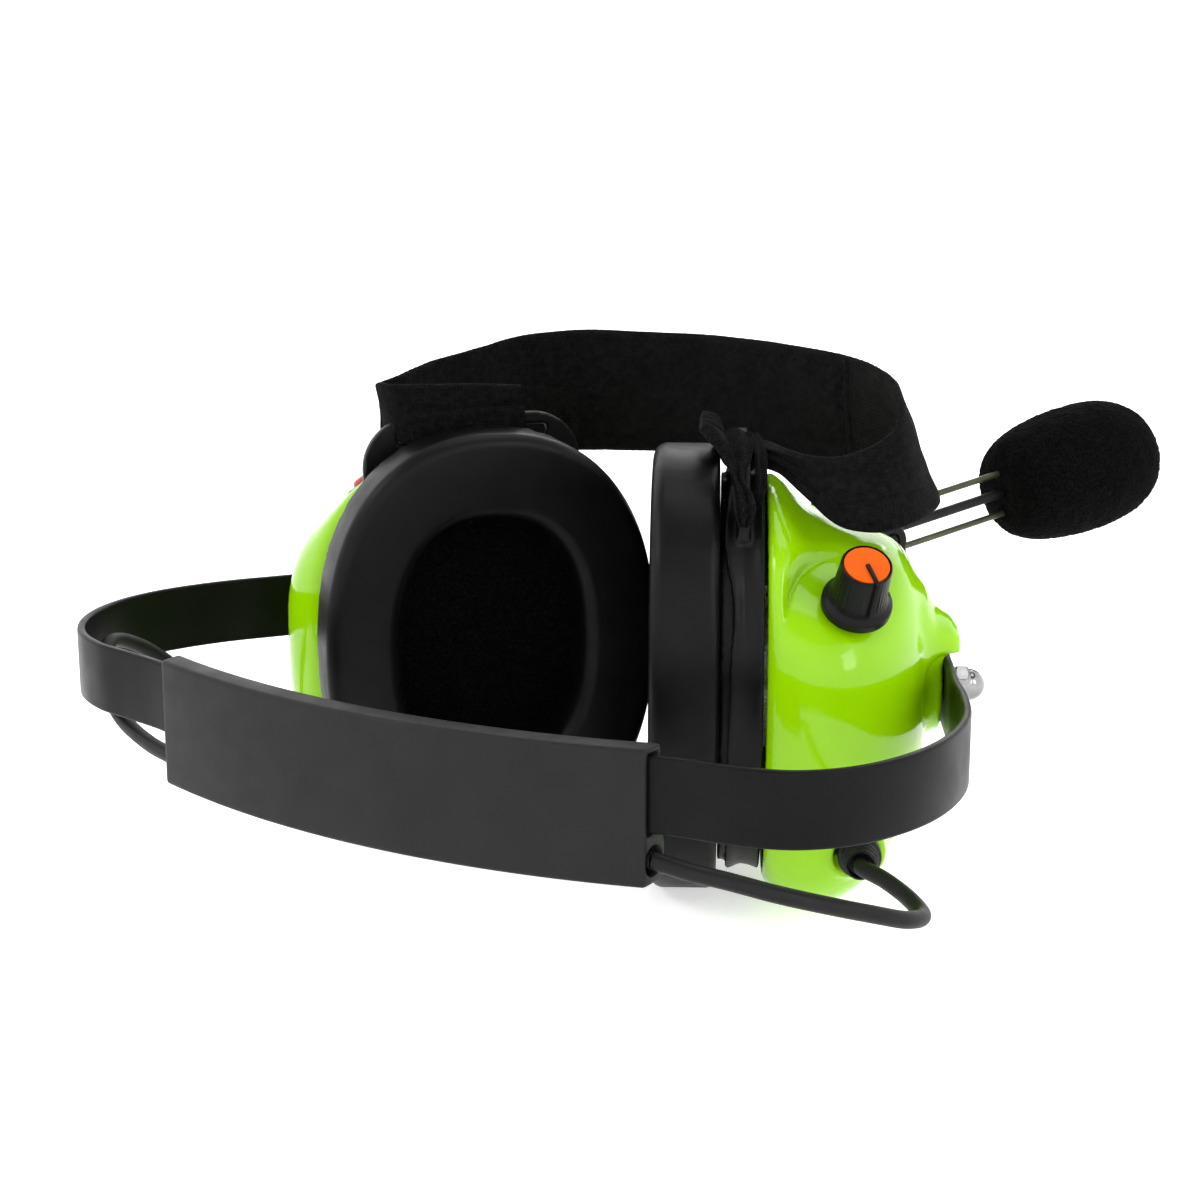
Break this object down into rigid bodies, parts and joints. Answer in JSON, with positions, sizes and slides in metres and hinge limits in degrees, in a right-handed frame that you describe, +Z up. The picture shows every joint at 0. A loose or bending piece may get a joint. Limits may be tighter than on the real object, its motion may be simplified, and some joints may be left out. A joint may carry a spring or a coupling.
{
  "type": "two-way radio headset",
  "caption": "Behind-the-head communication headset: sprung neckband, two hard ear cups with soft cushions, head strap, volume knob, talk button and tilting boom microphone.",
  "frame": {"origin": "middle of the bounding box in plan, on the table that the ear cups stand on", "axes": "+X to the wearer's right, +Y forward from the neckband to the boom, +Z up"},
  "size_m": [0.2382, 0.2472, 0.1293],
  "materials": {
    "lime_shell": "glossy injection-moulded shell, lime green",
    "black_plastic": "satin black moulded plastic",
    "cushion_vinyl": "smooth black vinyl over soft filling",
    "foam": "black open-cell foam",
    "band_rubber": "smooth black rubber, semi-gloss",
    "cable_rubber": "black round cable jacket",
    "webbing": "black woven fabric strap",
    "chrome": "polished plating",
    "steel": "plain bright steel",
    "boom_wire": "drawn spring steel wire, olive grey",
    "orange_cap": "orange insert",
    "olive_trim": "dark olive trim ring",
    "red_button": "dark red button",
    "board": "circuit board laminate"
  },
  "bodies": {
    "neckband": {"neckband_sleeve": "band_rubber", "strip_centre": "band_rubber", "sleeve_cable": "cable_rubber", "strap_pad": "webbing"},
    "right_arm": {"right_strip_arm": "band_rubber", "strap_right": "webbing", "right_cable_lower": "cable_rubber"},
    "left_arm": {"left_strip_arm": "band_rubber", "strap_left": "webbing", "left_cable_lower": "cable_rubber"},
    "right_cup": {"right_ear_cushion": "cushion_vinyl", "right_foam_liner": "foam", "right_seal_plate": "black_plastic", "right_baffle": "black_plastic", "right_speaker": "steel", "right_shell": "lime_shell", "right_pivot_stud": "steel", "right_washer": "steel", "right_acorn_nut": "chrome", "right_cable_gland": "cable_rubber", "right_cable_upper": "cable_rubber", "strap_right_tail": "webbing", "volume_pot": "steel", "pot_nut": "steel", "circuit_board": "board", "boom_bracket": "black_plastic"},
    "left_cup": {"left_ear_cushion": "cushion_vinyl", "left_foam_liner": "foam", "left_seal_plate": "black_plastic", "left_baffle": "black_plastic", "left_speaker": "steel", "left_shell": "lime_shell", "left_pivot_stud": "steel", "left_washer": "steel", "left_acorn_nut": "chrome", "left_cable_gland": "cable_rubber", "left_cable_upper": "cable_rubber", "strap_left_tab": "webbing", "talk_bezel": "olive_trim", "talk_switch": "black_plastic", "radio_socket": "black_plastic"},
    "volume_knob": {"volume_knob": "black_plastic", "knob_cap": "orange_cap", "knob_pointer": "black_plastic", "volume_shaft": "steel"},
    "talk_button": {"talk_button": "red_button"},
    "boom_block": {"boom_block": "black_plastic"},
    "clamp_screw": {"boom_clamp_screw": "steel"},
    "boom": {"boom_wire_upper": "boom_wire", "boom_wire_lower": "boom_wire", "boom_cable": "cable_rubber", "mic_housing": "black_plastic", "mic_capsule": "steel", "mic_windscreen": "foam"}
  },
  "joints": [
    {"name": "right_flex", "type": "hinge", "parent": "neckband", "child": "right_arm", "pos_m": [0.06715, -0.11033, 0.0524], "axis": [0, 0, -1], "range_deg": [0, 10], "stiffness_Nm_per_rad": 7, "deforming": ["right_cable_lower", "right_cable_upper", "strap_right", "strap_right_tail"]},
    {"name": "left_flex", "type": "hinge", "parent": "neckband", "child": "left_arm", "pos_m": [-0.06085, -0.11033, 0.0524], "axis": [0, 0, 1], "range_deg": [0, 10], "stiffness_Nm_per_rad": 7, "deforming": ["left_cable_lower", "left_cable_upper", "strap_left", "strap_left_tab"]},
    {"name": "right_cup_swivel", "type": "hinge", "parent": "right_arm", "child": "right_cup", "pos_m": [0.08875, 0.00036, 0.0524], "axis": [0.8746, 0.4848, 0], "range_deg": [-6, 6], "deforming": ["right_cable_lower", "right_cable_upper", "strap_right", "strap_right_tail"]},
    {"name": "left_cup_swivel", "type": "hinge", "parent": "left_arm", "child": "left_cup", "pos_m": [-0.07652, 0.00508, 0.0524], "axis": [-0.766, 0.6428, 0], "range_deg": [-6, 6], "deforming": ["left_cable_lower", "left_cable_upper", "strap_left", "strap_left_tab"]},
    {"name": "volume_turn", "type": "hinge", "parent": "right_cup", "child": "volume_knob", "pos_m": [0.08131, -0.03634, 0.0777], "axis": [0.3879, -0.4512, 0.8037], "range_deg": [-150, 150]},
    {"name": "talk_press", "type": "slide", "parent": "left_cup", "child": "talk_button", "axis": [0.5196, 0.152, -0.8408], "range_m": [0, 0.0022], "stiffness_N_per_m": 400},
    {"name": "boom_tilt", "type": "hinge", "parent": "right_cup", "child": "boom_block", "pos_m": [0.04963, 0.04122, 0.0775], "axis": [-0.866, 0.5, 0], "range_deg": [-22, 30]},
    {"name": "boom_slide", "type": "slide", "parent": "boom_block", "child": "boom", "axis": [0.4924, 0.8529, 0.1736], "range_m": [0, 0.008]},
    {"name": "clamp_screw_turn", "type": "hinge", "parent": "boom_block", "child": "clamp_screw", "pos_m": [0.04963, 0.04122, 0.0775], "axis": [-0.0868, -0.1504, 0.9848], "continuous": true}
  ],
  "couplings": [
    {"joint": "left_flex", "follows": "right_flex", "ratio": 1}
  ]
}
